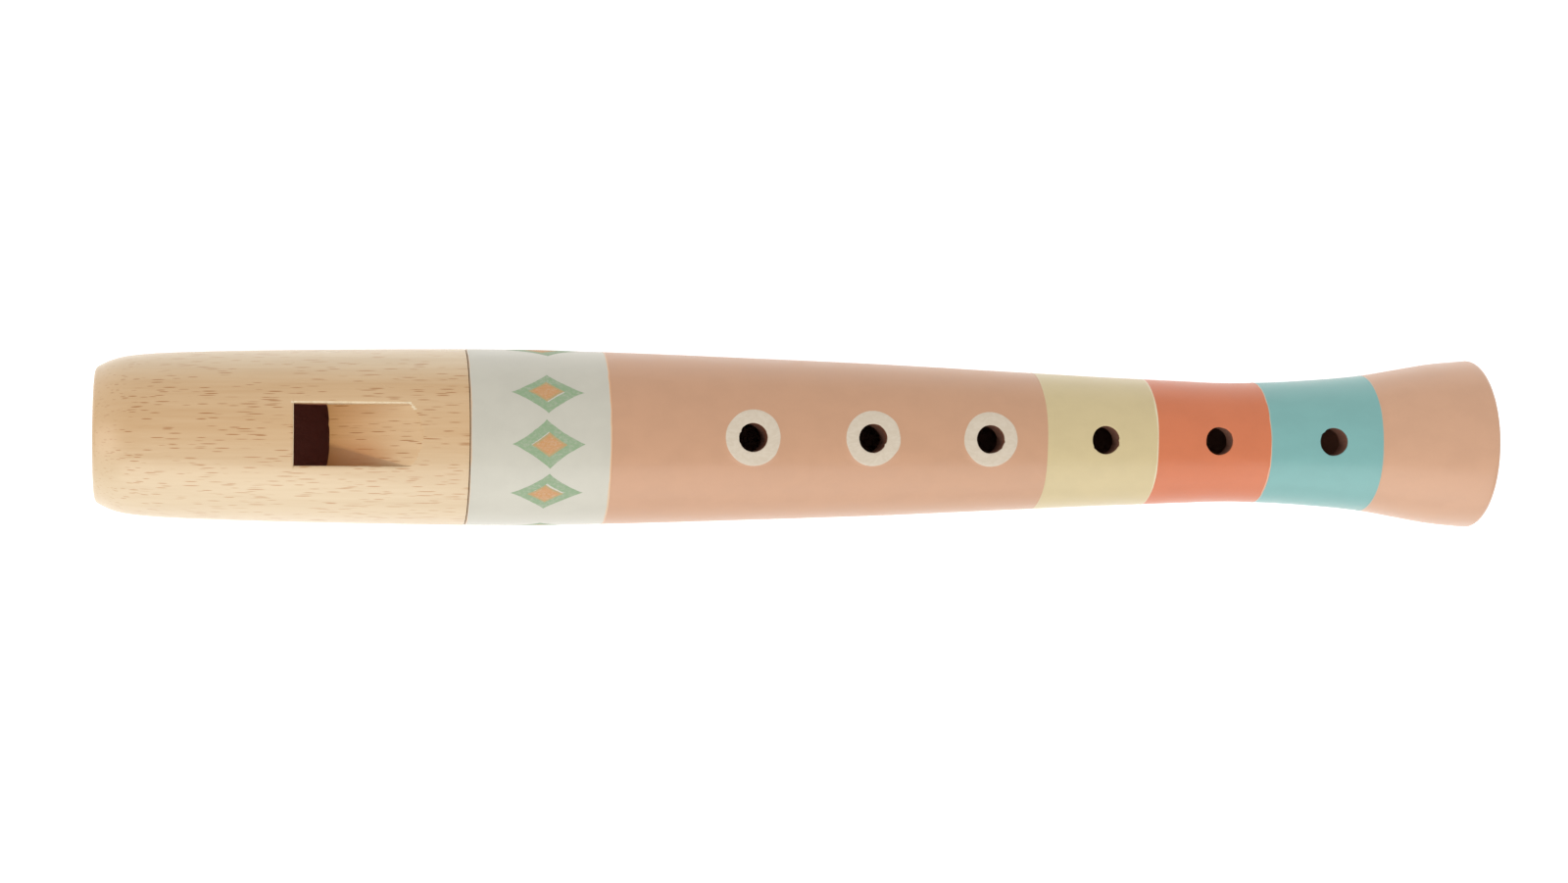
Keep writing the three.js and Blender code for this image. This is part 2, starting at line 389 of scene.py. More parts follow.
def ramp_beech():
    """The cut face of the window's ramp: bare wood, darkest and most orange at the thin edge over
    the window, where the side wall's shadow is painted on its -y side, and as pale as the outside
    where it runs out to the surface."""
    finish = Finish("ramp_beech", specular=0.4)
    s, y, _ = finish.axes()
    # The grain is taken along the ramp, so that its flecks lie in the cut face at full length.
    tilt = finish.add("ShaderNodeCombineXYZ")
    finish.feed(tilt.inputs["Z"], finish.math("MULTIPLY", finish.math("SUBTRACT", s, LABIUM), RAMP_SLOPE))
    finish.place = finish.vector("SUBTRACT", finish.place, tilt.outputs[0])
    along = finish.between(s, LABIUM + 1, 45.0)
    shades = [finish.mix(along, linear(*near), linear(*far)) for near, far in RAMP_TONES]
    colour, _ = beech_tone(finish, *shades)
    # Painted shadow: the -y side near the thin edge is darkened to a deep orange brown, where the window's
    # side wall shades the ramp.
    painted_wall_shadow = finish.math("MULTIPLY", finish.between(y, 0.5, -3.5, 0.0, 0.8), finish.between(s, 44.0, 37.0))
    colour = finish.mix(painted_wall_shadow, colour, linear(184, 122, 68))
    fuzz = finish.noise((0.9, 0.14, 0.3), roughness=0.7)
    return finish.done(colour, finish.between(fuzz, 0.3, 0.7, 0.4, 0.5), fuzz, 0.012)


def painted_edge_highlight():
    """A painted highlight: a pale wood tone along the lit edges of the window and the ramp."""
    finish = Finish("painted_edge_highlight", roughness=0.6, specular=0.3)
    fuzz = finish.noise((0.8, 0.4, 0.4), roughness=0.7)
    tone = finish.mix(finish.between(fuzz, 0.3, 0.7), linear(218, 193, 157), linear(232, 214, 182))
    return finish.done(tone, None, fuzz, 0.02)


def paint(name, colour, edges, edge_colour, edge_width=0.22):
    """Satin paint on turned wood: the faintest mottling, rings from the lathe and a soft sprayed
    relief, and a line of other colour where the next band's paint was laid against this one's
    edge, which is also a painted highlight on the paint ridge there."""
    finish = Finish(name)
    s = finish.axes()[0]
    base = linear(*colour)
    darker = linear(*(np.array(colour) * 0.988))
    lighter = linear(*np.minimum(np.array(colour) * 1.01, 255))
    mottle = finish.noise((5, 4, 4), detail=4, roughness=0.6)
    tone = finish.mix(finish.between(mottle, 0.34, 0.66), darker, lighter)
    rings = finish.noise((0.22, 60, 60), roughness=0.6)
    tone = finish.mix(finish.between(rings, 0.3, 0.75, 0.0, 0.5), tone, base)
    waver = finish.math("SUBTRACT", finish.noise((4, 3, 3)), 0.5)
    shifted = finish.math("ADD", s, finish.math("MULTIPLY", waver, 0.5))
    # Partly painted highlight: a line of the edge colour along each band edge, for the overlapping paint and
    # for the light on its ridge.
    for edge in edges:
        away = finish.math("ABSOLUTE", finish.math("SUBTRACT", shifted, edge))
        near = finish.between(away, edge_width, 0.02)
        tone = finish.mix(finish.math("MULTIPLY", near, 0.75), tone, linear(*edge_colour))
    peel = finish.noise((2.2, 1.8, 1.8), detail=1)
    relief = finish.math("ADD", finish.math("MULTIPLY", rings, 0.15), peel)
    gloss = finish.between(mottle, 0.3, 0.7, 0.28, 0.36)
    return finish.done(tone, gloss, relief, 0.006)


def printed_ink(name, colour, thin_colour):
    """Pad-printed ink: nearly flat, thinner and greyer in fine specks where the pad lifted it."""
    finish = Finish(name, specular=0.35)
    specks = finish.noise((0.5, 0.35, 0.35), detail=4, roughness=0.7)
    patch = finish.noise((2.4, 1.6, 1.6), detail=2)
    thin = finish.between(patch, 0.3, 0.7, 0.4, 1.0)
    wear = finish.math("MULTIPLY", finish.between(specks, 0.38, 0.7), thin)
    tone = finish.mix(wear, linear(*colour), linear(*thin_colour))
    return finish.done(tone, finish.between(specks, 0.3, 0.7, 0.48, 0.6), specks, 0.008)


def cream_ring_paint():
    """The brushed cream rings round the upper three holes, in a soft cloud of two close tones."""
    finish = Finish("cream_ring_paint", specular=0.4)
    cloud = finish.noise((1.8, 1.1, 1.1), distortion=2.2)
    tone = finish.mix(finish.between(cloud, 0.35, 0.68), linear(205, 191, 171), linear(211, 198, 179))
    return finish.done(tone, finish.between(cloud, 0.3, 0.7, 0.32, 0.42), cloud, 0.006)


def natural_cork():
    """Cork: pale brown grains of mixed tone with dark pits between them."""
    finish = Finish("natural_cork", specular=0.15)
    distance, chance = finish.cells(finish.stretched(0.9, 0.8, 0.8))
    # The three channels of a random colour are at most the square root of three long.
    grey = finish.math("MULTIPLY", finish.vector("LENGTH", chance), 0.577)
    tone = finish.mix(grey, linear(150, 104, 62), linear(206, 164, 112))
    pits = finish.between(finish.noise((0.6, 0.5, 0.5), detail=4, roughness=0.7), 0.6, 0.72)
    tone = finish.mix(pits, tone, linear(88, 56, 32))
    relief = finish.math("SUBTRACT", finish.math("MULTIPLY", distance, 0.4), pits)
    return finish.done(tone, finish.between(grey, 0.0, 1.0, 0.82, 0.95), relief, 0.09)


def floor_finish():
    """Plain white translucent paper, lit from behind as well, with the faintest unevenness."""
    finish = Finish("white_paper", roughness=0.9, specular=0.1)
    finish.shader.inputs["Emission Color"].default_value = (1.0, 1.0, 1.0, 1.0)
    finish.shader.inputs["Emission Strength"].default_value = 0.6
    fibre = finish.noise((3, 3, 3))
    tone = finish.mix(fibre, linear(250, 250, 250), linear(253, 253, 252))
    return finish.done(tone)


# ---- body joint

BODY_OUTLINE = [
    (SHOULDER, SHOULDER_RADIUS),
    (60, 12.98),
    (75, 12.73),
    (95, 12.14),
    (115, 11.46),
    (135, 10.55),
    (152, 9.78),
    (163, 9.36),
    (170, 9.14),
    (176, 9.27),
    (184, 9.74),
    (191.6, 10.45),
    (198, 11.52),
    (203.8, 12.49),
    (LENGTH - 0.8, 13.0),
]
RIM_ROUND = 0.8
EDGE_BREAK = 0.1
TENON_START = 42.3
TENON_RADIUS = 8.8
RECESS = (44.5, 51.5)
RECESS_RADIUS = 8.0
BELL_CONE_START = 199.0
BELL_MOUTH = 8.2
BELL_LIP = 0.5

FIRST_HOLE = 94.3
HOLE_PITCH = 18.0
HOLE_RADIUS = 2.11
HOLE_LIP = 0.2
RING_RADIUS = 4.1
RINGED_HOLES = 3
INK_FILM = 0.025
THUMB_HOLE = 86.5
THUMB_HOLE_RADIUS = 2.3
THUMB_PATCH = 7.5  # half the length of the thumb hole's patch
HOLES = 6
HOLE_SEED = 40
RIM_WANDER = 0.03
RIM_WAVES = 9
NICK_DEPTHS = (0.04, 0.12)
NICK_WIDTHS = (0.06, 0.13)  # in radians round the hole, like the burr's
BURR_HEIGHTS = (0.1, 0.2)
BURR_WIDTH = 0.09
RING_WANDER = 0.09
RING_WAVES = 5
LIP_STRAY = 0.35  # the share of the rim's stray that the lip's outer edge follows
WALL_SETTLE = 0.22  # the share of the wall's depth by which it is a true circle
RING_FLANK = 0.06  # how far in from its edge a cream ring reaches its full height

# The painted bands, from the shoulder to the bell: where each ends.
BAND_ENDS = [73.4, 139.2, 156.6, 174.5, 191.9, LENGTH]
# The body's finishes, in the order of body_paints. The first six are the bands'.
WHITE, ROSE, YELLOW, ORANGE, BLUE, BELL_ROSE, CREAM, BARE, SHADE_PAINTED_WALL = range(9)
BARE_TONE = (196, 156, 112)
# The plug's wood is darker and more orange than the head's, partly as painted shade for the window's dark
# inside.
BLOCK_TONE = (172, 120, 84)
# Painted shade: the walls of the holes and the bore are a darker reddish brown than the bare wood.
SHADE_WALL_RIM = (138, 90, 70)
SHADE_WALL_DEEP = (142, 106, 92)
RIDGE_HEIGHT = 0.035
RIDGE_WIDTH = 0.12
EDGE_SEED = 90
EDGE_STRAY = 0.03
EDGE_STRAY_REACH = 1.4
OUTSIDE_FROM = 9.0  # the outside is all farther from the axis than this

COLUMNS = 144
STRIP = 14  # columns on each side of the top that a hole's patch takes the place of


def body_radius(s):
    """The turned outline, plus a ridge of paint where two bands meet: at a distance d from the
    meeting it is RIDGE_HEIGHT * exp(-(d / RIDGE_WIDTH)^2) high."""
    ridge = sum(np.exp(-(((s - end) / RIDGE_WIDTH) ** 2)) for end in BAND_ENDS[:-1])
    return flowing(BODY_OUTLINE, s) + RIDGE_HEIGHT * ridge


def body_rows():
    """Places of the mesh rows along the outside: an even step in each stretch, and close rows
    beside each band's end. The stretches end at the bands' ends and halfway between holes of one
    band."""
    first = FIRST_HOLE + HOLE_PITCH / 2
    stretches = [SHOULDER + EDGE_BREAK, BAND_ENDS[0], FIRST_HOLE - HOLE_PITCH / 2, first, first + HOLE_PITCH]
    stretches += BAND_ENDS[1:-1] + [LENGTH - RIM_ROUND]
    close = np.array([0, 0.05, 0.1, 0.16, 0.24, 0.42])
    rows = []
    for start, end in zip(stretches[:-1], stretches[1:]):
        before = start + (close if start in BAND_ENDS else close[:1])
        after = end - (close[:0:-1] if end in BAND_ENDS else close[:0])
        steps = int(round((end - start) / 1.25))
        rows += [before, np.linspace(start + 1, end - 1, steps), after]
    return np.append(np.concatenate(rows), stretches[-1])


def rim_shape(hole_rng, count, around):
    """How one drilled hole strays from a true circle: a slightly wavy edge, with two nicks added
    and a burr of paint taken off. Each is the bell curve size * exp(-(angle / width)^2) about its
    own middle."""
    stray = wander(count, RIM_WANDER, RIM_WAVES, hole_rng)
    turn = np.unwrap(around)
    for size, width in zip(hole_rng.uniform(*NICK_DEPTHS, 2), hole_rng.uniform(*NICK_WIDTHS, 2)):
        away = np.angle(np.exp(1j * (turn - hole_rng.uniform(0, 2 * np.pi))))
        stray = stray + size * np.exp(-((away / width) ** 2))
    away = np.angle(np.exp(1j * (turn - hole_rng.uniform(0, 2 * np.pi))))
    return stray - hole_rng.uniform(*BURR_HEIGHTS) * np.exp(-((away / BURR_WIDTH) ** 2))


def hole_patch(skin, s, centre, radius, rows, side, ringed, finish, hole_rng):
    """One hole through the wall, from the square of grid cells that it replaces down to the bore.
    Rings of vertices run from the square's edge in to a circle, over a rounded lip, down the
    drilled wall and out along the bore to the square's edge there. Between rings the places are
    mixed evenly in the (s, y) plane and raised to the surface."""
    middle = 0 if side > 0 else COLUMNS // 2
    low, high = rows
    up, over = np.arange(low, high), np.arange(-STRIP, STRIP)
    row = np.concatenate([up, np.full(len(over), high), up[::-1] + 1, np.full(len(over), low)])
    column = np.concatenate([np.full(len(up), -STRIP), over, np.full(len(up), STRIP), over[::-1] + 1])
    angle = 2 * np.pi * (column + middle) / COLUMNS
    edge_s = s[row]
    around = np.arctan2(np.sin(angle) * body_radius(edge_s), edge_s - centre)
    count = len(row)
    stray = rim_shape(hole_rng, count, around)
    circle = np.stack([np.cos(around), np.sin(around)], -1)

    def raised(flat, height_of, drop=0.0):
        """(s, y) places on the surface of revolution whose radius is height_of(s), lowered by
        drop."""
        height = np.sqrt(height_of(flat[:, 0]) ** 2 - flat[:, 1] ** 2) - drop
        return np.stack([flat[:, 0], flat[:, 1], side * height], -1)

    def at(distance):
        """(s, y) places at a distance from the hole's middle, one in each direction round it."""
        return np.array([centre, 0]) + circle * np.broadcast_to(distance, count)[:, None]

    outer = np.stack([edge_s, np.sin(angle) * body_radius(edge_s)], -1)
    ring_edge = RING_RADIUS + wander(count, RING_WANDER, RING_WAVES, hole_rng)
    lip_start = radius + HOLE_LIP + LIP_STRAY * stray
    film = INK_FILM if ringed else 0.0
    rings = [raised(outer + (at(ring_edge) - outer) * t, body_radius) for t in np.linspace(0, 1, 7) ** 0.8]
    skin.add(np.stack(rings), finish)
    shelf = [raised(at(ring_edge), body_radius)]
    for t in np.linspace(0, 1, 6):
        flat = at(ring_edge - RING_FLANK + (lip_start - ring_edge + RING_FLANK) * t)
        shelf.append(raised(flat, body_radius, -film))
    inside = radius + np.clip(stray, -1, 1)
    for turn in np.radians([18, 36, 54, 72, 90]):
        flat = at(lip_start + (inside - lip_start) * np.sin(turn))
        shelf.append(raised(flat, body_radius, HOLE_LIP * (1 - np.cos(turn)) - film))
    skin.add(np.stack(shelf), CREAM if ringed else finish)
    top = shelf[-1]
    true_wall = at(radius)
    foot = raised(true_wall, lambda place: np.full_like(place, BODY_BORE))
    wall = [top]
    for t in np.array([0.05, 0.12, 0.22, 0.36, 0.52, 0.68, 0.84, 1.0]):
        settle = min(1.0, t / WALL_SETTLE)
        flat = top[:, :2] + (true_wall - top[:, :2]) * settle
        height = top[:, 2] + (foot[:, 2] - top[:, 2]) * t
        wall.append(np.column_stack([flat, height]))
    skin.add(np.stack(wall), SHADE_PAINTED_WALL)
    bore_edge = np.stack([edge_s, np.sin(angle) * BODY_BORE], -1)
    under = [
        raised(true_wall + (bore_edge - true_wall) * t, lambda place: np.full_like(place, BODY_BORE))
        for t in np.linspace(0, 1, 5)
    ]
    under[-1] = np.column_stack([bore_edge, BODY_BORE * np.cos(angle)])
    skin.add(np.stack(under), SHADE_PAINTED_WALL)


def body_joint(materials):
    """The whole turning: painted outside with its holes, bell, bore, tenon and shoulder."""
    skin = Skin()
    angles = np.linspace(0, 2 * np.pi, COLUMNS, endpoint=False)
    s = body_rows()
    outside = turned(np.stack([s, body_radius(s)], -1), angles)
    band = np.searchsorted(BAND_ENDS, (s[:-1] + s[1:]) / 2)
    keep = np.ones((len(s) - 1, COLUMNS), bool)
    bore_rows = np.where((s >= BAND_ENDS[0]) & (s <= BAND_ENDS[4]))[0]

    def nearest(place):
        """The number of the mesh row that is nearest to a place along the bore."""
        return int(np.abs(s - place).argmin())

    half = HOLE_PITCH / 2
    cells = []
    for i in range(HOLES):
        centre = FIRST_HOLE + i * HOLE_PITCH
        if i < RINGED_HOLES - 1:
            ends = (centre - half, centre + half)
        elif i == RINGED_HOLES - 1:
            ends = (centre - half, BAND_ENDS[1])
        else:
            ends = (BAND_ENDS[i - 2], BAND_ENDS[i - 1])
        cells.append((centre, HOLE_RADIUS, nearest(ends[0]), nearest(ends[1]), 1, i < RINGED_HOLES))
    low, high = nearest(THUMB_HOLE - THUMB_PATCH), nearest(THUMB_HOLE + THUMB_PATCH)
    cells.append((THUMB_HOLE, THUMB_HOLE_RADIUS, low, high, -1, False))
    for number, (centre, radius, low, high, side, ringed) in enumerate(cells):
        hole_rng = np.random.default_rng(HOLE_SEED + number)
        finish = int(band[low])
        hole_patch(skin, s, centre, radius, (low, high), side, ringed, finish, hole_rng)
        middle = 0 if side > 0 else COLUMNS // 2
        taken = (np.arange(-STRIP, STRIP) + middle) % COLUMNS
        keep[low:high, taken] = False
    skin.add(outside, np.repeat(band[:, None], COLUMNS, 1), keep)
    bore = turned(np.stack([s[bore_rows], np.full(len(bore_rows), BODY_BORE)], -1), angles)
    skin.add(bore, SHADE_PAINTED_WALL, keep[bore_rows[0] : bore_rows[-1]])

    rim = LENGTH - RIM_ROUND
    top = body_radius(np.array([rim]))[0]
    bell = [quarter((rim, top - RIM_ROUND), RIM_ROUND, 90, 0, 12)]
    bell.append(np.linspace((LENGTH, top - RIM_ROUND), (LENGTH, BELL_MOUTH + BELL_LIP), 5)[1:])
    bell.append(quarter((LENGTH - BELL_LIP, BELL_MOUTH + BELL_LIP), BELL_LIP, 0, -80, 7)[1:])
    skin.add(turned(np.concatenate(bell), angles), BELL_ROSE)
    last = s[bore_rows[-1]]
    cone = np.linspace(bell[-1][-1], (BELL_CONE_START, BODY_BORE), 10)
    skin.add(turned(np.concatenate([cone, [(last, BODY_BORE)]]), angles), BARE)

    first = s[bore_rows[0]]
    chamfer = 0.4
    tenon = [(first, BODY_BORE), (TENON_START + chamfer, BODY_BORE), (TENON_START, BODY_BORE + chamfer)]
    tenon += [(TENON_START, TENON_RADIUS - chamfer), (TENON_START + chamfer, TENON_RADIUS)]
    tenon += [(RECESS[0], TENON_RADIUS), (RECESS[0], RECESS_RADIUS)]
    tenon += [(RECESS[1], RECESS_RADIUS), (RECESS[1], TENON_RADIUS)]
    tenon += [(SHOULDER, TENON_RADIUS), (SHOULDER, SHOULDER_RADIUS - EDGE_BREAK - 0.3)]
    skin.add(turned(tenon, angles), BARE)
    start_radius = body_radius(np.array([s[0]]))[0]
    brow = quarter((SHOULDER + EDGE_BREAK, start_radius - EDGE_BREAK), EDGE_BREAK, 180, 90, 6)
    skin.add(turned(np.concatenate([tenon[-1:], brow]), angles), WHITE)
    for patch in skin.points:
        stray_edges(patch)
    return skin.piece("painted_body", materials)


def stray_edges(points):
    """Lets each band's end stray along the bore by a few hundredths of a millimetre round the body.
    A point near it moves along the outline, so the turned shape stays as it is."""
    s, y, h = points.T
    distance = np.hypot(y, h)
    outside = (distance > OUTSIDE_FROM) & (s > SHOULDER + 5)
    angle = np.arctan2(y, h)
    shift = np.zeros(len(points))
    for number, end in enumerate(BAND_ENDS[:-1]):
        edge_rng = np.random.default_rng(EDGE_SEED + number)
        phase = edge_rng.uniform(0, 2 * np.pi, 6)
        strength = edge_rng.normal(0, EDGE_STRAY, 6)
        wave = sum(k * np.sin((n + 1) * angle + p) for n, (p, k) in enumerate(zip(phase, strength)))
        shift += wave * np.exp(-(((s - end) / EDGE_STRAY_REACH) ** 2))
    shift = np.where(outside, shift, 0)
    scale = np.where(outside, flowing(BODY_OUTLINE, s + shift) / flowing(BODY_OUTLINE, s), 1)
    points[:, 0] = s + shift
    points[:, 1] = y * scale
    points[:, 2] = h * scale


# ---- printed diamonds

DIAMOND_CENTRE = 64.3
DIAMOND_HALF_LENGTH = 5.25
DIAMOND_HALF_ANGLES = (14.5, 16.0, 14.5)
DIAMOND_ANGLES = (-29.2, 5.35, 39.3)
HEART_SHIFTS = ((-0.2, -0.8), (0.12, 0.5), (-0.2, 0.85))
DIAMOND_GROUPS = 3
DIAMOND_LEAN = 0.35
GAP_HALF_LENGTH = 2.5
HEART_HALF_LENGTH = 2.6
HEART_SHARE = 0.5  # the heart's width, as a share of the diamond's
SOLID_SHARE = 0.8  # the part of the heart where the tan ink lies alone
OUTLINE_POINTS = 96
INK_SEED = 11
GREEN_INK, TAN_INK, TAN_OVER_GREEN_INK = range(3)
INK_HEIGHTS = (0.012, 0.02, 0.018)  # over the paint, one for each ink, so no two films coincide
INK_FOOT = 0.04  # a film's foot lies this far below the paint's surface, plus the film's height


def diamond_outline(half_length, half_angle, ink_rng, hollow, roughness):
    """A four-pointed diamond, as (length, angle) offsets: the curve |x/a|^p + |y/b|^p = 1, whose
    sides are drawn in because the power p, hollow, is below 1. A closed wavy line roughens it."""
    turn = np.linspace(0, 2 * np.pi, OUTLINE_POINTS, endpoint=False)
    c, d = np.cos(turn), np.sin(turn)
    reach = (np.abs(c) ** hollow + np.abs(d) ** hollow) ** (-1 / hollow)
    reach = reach * (1 + wander(OUTLINE_POINTS, roughness, 23, ink_rng))
    return np.stack([half_length * reach * c, half_angle * reach * d], -1)


def ink_film(skin, inner, outer, centre_angle, ink):
    """A film of ink between two outlines on the white band, closed all round: up its inner side,
    across its top, down its outer side, and back underneath inside the paint."""
    raise_by = INK_HEIGHTS[ink]
    sunk = -INK_FOOT - raise_by
    shares = np.concatenate([[0], np.linspace(0, 1, 6), [1], np.linspace(1, 0, 4)])
    lifts = np.concatenate([[sunk], np.full(6, raise_by), [sunk], np.full(4, sunk)])
    lifts[1] -= 0.3 * raise_by
    lifts[6] -= 0.3 * raise_by
    rings = []
    for share, lift in zip(shares, lifts):
        flat = inner + (outer - inner) * share
        s = DIAMOND_CENTRE + flat[:, 0]
        angle = np.radians(centre_angle + flat[:, 1])
        radius = flowing(BODY_OUTLINE, s) + lift
        rings.append(np.stack([s, -radius * np.sin(angle), radius * np.cos(angle)], -1))
    skin.add(np.stack(rings), ink)


def diamond_prints(materials):
    """Nine two-colour diamonds round the white band in three groups. Each has a green frame and a
    tan heart, printed one after the other and not quite in line, so a sliver of the white shows
    along one side of the heart."""
    skin = Skin()
    ink_rng = np.random.default_rng(INK_SEED)
    for group in range(DIAMOND_GROUPS):
        for angle, half_angle, heart_shift in zip(DIAMOND_ANGLES, DIAMOND_HALF_ANGLES, HEART_SHIFTS):
            turned_by = angle + group * 360 / DIAMOND_GROUPS
            lean = ink_rng.normal(0, DIAMOND_LEAN)
            outer = diamond_outline(DIAMOND_HALF_LENGTH, half_angle, ink_rng, hollow=0.88, roughness=0.03)
            outer[:, 0] += lean * outer[:, 1] / half_angle
            inner_angle = HEART_SHARE * half_angle
            gap = diamond_outline(GAP_HALF_LENGTH, inner_angle, ink_rng, hollow=0.92, roughness=0.035)
            heart = diamond_outline(HEART_HALF_LENGTH, inner_angle, ink_rng, hollow=0.95, roughness=0.045)
            solid = heart * SOLID_SHARE * (1 + wander(OUTLINE_POINTS, 0.03, 17, ink_rng))[:, None]
            middle, edge = solid + heart_shift, heart + heart_shift
            ink_film(skin, gap, outer, turned_by, GREEN_INK)
            ink_film(skin, middle, edge, turned_by, TAN_OVER_GREEN_INK)
            ink_film(skin, solid * 0.02 + heart_shift, middle, turned_by, TAN_INK)
    return skin.piece("diamond_prints", materials)


# ---- head joint

HEAD_OUTLINE = [
    (0.35, 9.85),
    (1.3, 10.38),
    (2.5, 10.9),
    (4.1, 11.33),
    (6.2, 11.62),
    (10, 11.93),
    (20, 12.32),
    (30, 12.58),
    (42, 12.8),
    (SEAM - EDGE_BREAK, SHOULDER_RADIUS),
]
TIP_FACE_RADIUS = 9.1
WINDOW_START = 28.1
LABIUM = 32.85
LACQUER, HEAD_BARE_AND_SHADE, RAMP, EDGE_HIGHLIGHT = range(4)
LABIUM_TOP = 6.3
LABIUM_UNDERSIDE = 5.9
LABIUM_LENGTH = 2.65
RAMP_SLOPE = 0.487
WINDOW_HALF = 4.45
WINDWAY_FLOOR = 5.3
WINDWAY_CEILING = 6.5
HEAD_BORE = 6.0
SOCKET_START = 42.0
SOCKET_RADIUS = 9.1
WINDOW_ROUND = 0.4
LABIUM_WEAR = 0.42
LABIUM_NICKS = ((0.12, 1.6, 0.35), (-0.07, -2.2, 0.5))  # each one's (depth, middle, width)
# Painted highlight: how far the pale edge tone reaches beside the window's +y wall, along the sill and round
# the ramp's end.
HIGHLIGHT_WIDTH = 0.35
HIGHLIGHT_SILL = 0.15
HIGHLIGHT_CURL = 0.09
BEAK_DRUM_RADIUS = 42.0
BEAK_TIP = -1.2
BEAK_DRUM_PLACE = -1.0
BEAK_DRUM_REACH = 20.0
HEAD_AROUND = 96  # columns round the back of the head, from one side of the strip to the other


def head_radius(s):
    """The turned outline of the head."""
    return flowing(HEAD_OUTLINE, s)


def soft_lower(a, b, softness):
    """The lower of two heights with the corner between them rounded: b + (a - b) t - softness t (1
    - t), where t goes evenly from 0 to 1 as b - a goes from -softness to softness."""
    share = np.clip(0.5 + 0.5 * (b - a) / softness, 0, 1)
    return b + (a - b) * share - softness * share * (1 - share)


def strip_columns():
    """Places across the top of the head: even inside the window's width, and close together just
    outside it."""
    inner = np.linspace(-WINDOW_HALF, WINDOW_HALF, 33)
    inner = np.sort(np.concatenate([inner, [WINDOW_HALF - 0.12, 0.12 - WINDOW_HALF]]))
    beside = WINDOW_HALF + np.array([0, 0.02, 0.06, 0.12, 0.2, 0.3, 0.45, 0.7, 1.0])
    return inner, beside


def worn_labium(y):
    """How far the labium's thin edge is worn back at each place across: a low arch with a nick in
    it, nothing at the window's sides."""
    share = np.clip(1 - (y / WINDOW_HALF) ** 2, 0, None)
    nick = sum(depth * np.exp(-(((y - at) / width) ** 2)) for depth, at, width in LABIUM_NICKS)
    return LABIUM_WEAR * share ** 0.6 - nick * share


def head_rows():
    """Places of the mesh rows along the head's outside."""
    tip = np.array([0.35, 0.6, 0.9, 1.3, 1.8, 2.4, 3.2, 4.1, 5.1, 6.2, 7.4, 8.7])
    crown = np.linspace(10, WINDOW_START - 1.1, 15)
    sill = WINDOW_START - np.array([0.7, 0.5, 0.4, 0.3, 0.2, 0.11, 0.05, 0.015])
    window = np.linspace(WINDOW_START, LABIUM, 14)
    ramp = np.linspace(LABIUM, 47.6, 62)[1:]
    rest = np.array([48.4, 49.4, 50.4, 51.4, 52.2, SEAM - EDGE_BREAK])
    return np.concatenate([tip, crown, sill, window, ramp, rest])


def head_outside(s):
    """The head's outside as a grid: places across the top strip are fixed, and the rest goes evenly
    round the back. The ramp cuts the strip down to its slope, and the cut edges are rounded by a
    quarter circle."""
    inner, beside = strip_columns()
    radius = head_radius(s)[:, None]
    place = s[:, None]
    round_top = np.sqrt(radius ** 2 - inner[None] ** 2)
    ramp = LABIUM_TOP + RAMP_SLOPE * (place - LABIUM)
    beyond = place >= LABIUM - SAME_PLACE
    fade = np.where(beyond, np.clip(1 - (place - LABIUM) / 2.5, 0, 1) ** 2, 0)
    worn = fade * worn_labium(inner)[None]
    on_ramp = soft_lower(ramp + RAMP_SLOPE * worn, round_top, 0.18)
    before = np.clip(WINDOW_ROUND - (WINDOW_START - place), 0, WINDOW_ROUND)
    sill_drop = WINDOW_ROUND - np.sqrt(WINDOW_ROUND ** 2 - before ** 2)
    middle = np.where(beyond, on_ramp, round_top - sill_drop)
    side_top = np.sqrt(radius ** 2 - beside[None] ** 2)
    wall = np.where(beyond, np.clip(side_top[:, :1] - ramp, 0, None), 9.0)
    wall = np.where(place < WINDOW_START - WINDOW_ROUND, 0, wall)
    rounding = np.minimum(WINDOW_ROUND, 0.6 * wall)
    within = np.clip(rounding - (beside[None] - WINDOW_HALF), 0, None)
    side_drop = rounding - np.sqrt(np.clip(rounding ** 2 - within ** 2, 0, None))
    sill_side = np.where(place < WINDOW_START, sill_drop, 0)
    taper = np.clip(1 - (beside[None] - WINDOW_HALF) / WINDOW_ROUND, 0, 1)
    side_drop = np.where(place < WINDOW_START, sill_side * taper, side_drop)
    side = side_top - side_drop
    edge = middle[:, -1:]
    levels = [np.maximum(edge, np.minimum(level, side[:, :1])) for level in (LABIUM_TOP, WINDWAY_CEILING)]
    levels = [np.where(beyond, level, side[:, :1]) for level in levels]
    half = np.concatenate([*levels, side], 1)
    half_y = np.broadcast_to(np.concatenate([[WINDOW_HALF] * 2, beside]), half.shape)
    start = np.arcsin(beside[-1] / radius)
    share = np.linspace(0, 1, HEAD_AROUND + 1)[None, 1:-1]
    angle = start + (2 * np.pi - 2 * start) * share
    across = np.broadcast_to(inner, middle.shape)
    y = np.concatenate([across, half_y, radius * np.sin(angle), -half_y[:, ::-1]], 1)
    h = np.concatenate([middle, half, radius * np.cos(angle), half[:, ::-1]], 1)
    along = np.broadcast_to(place, y.shape).copy()
    along[:, : len(inner)] += worn
    return np.stack([along, y, h], -1), len(inner)


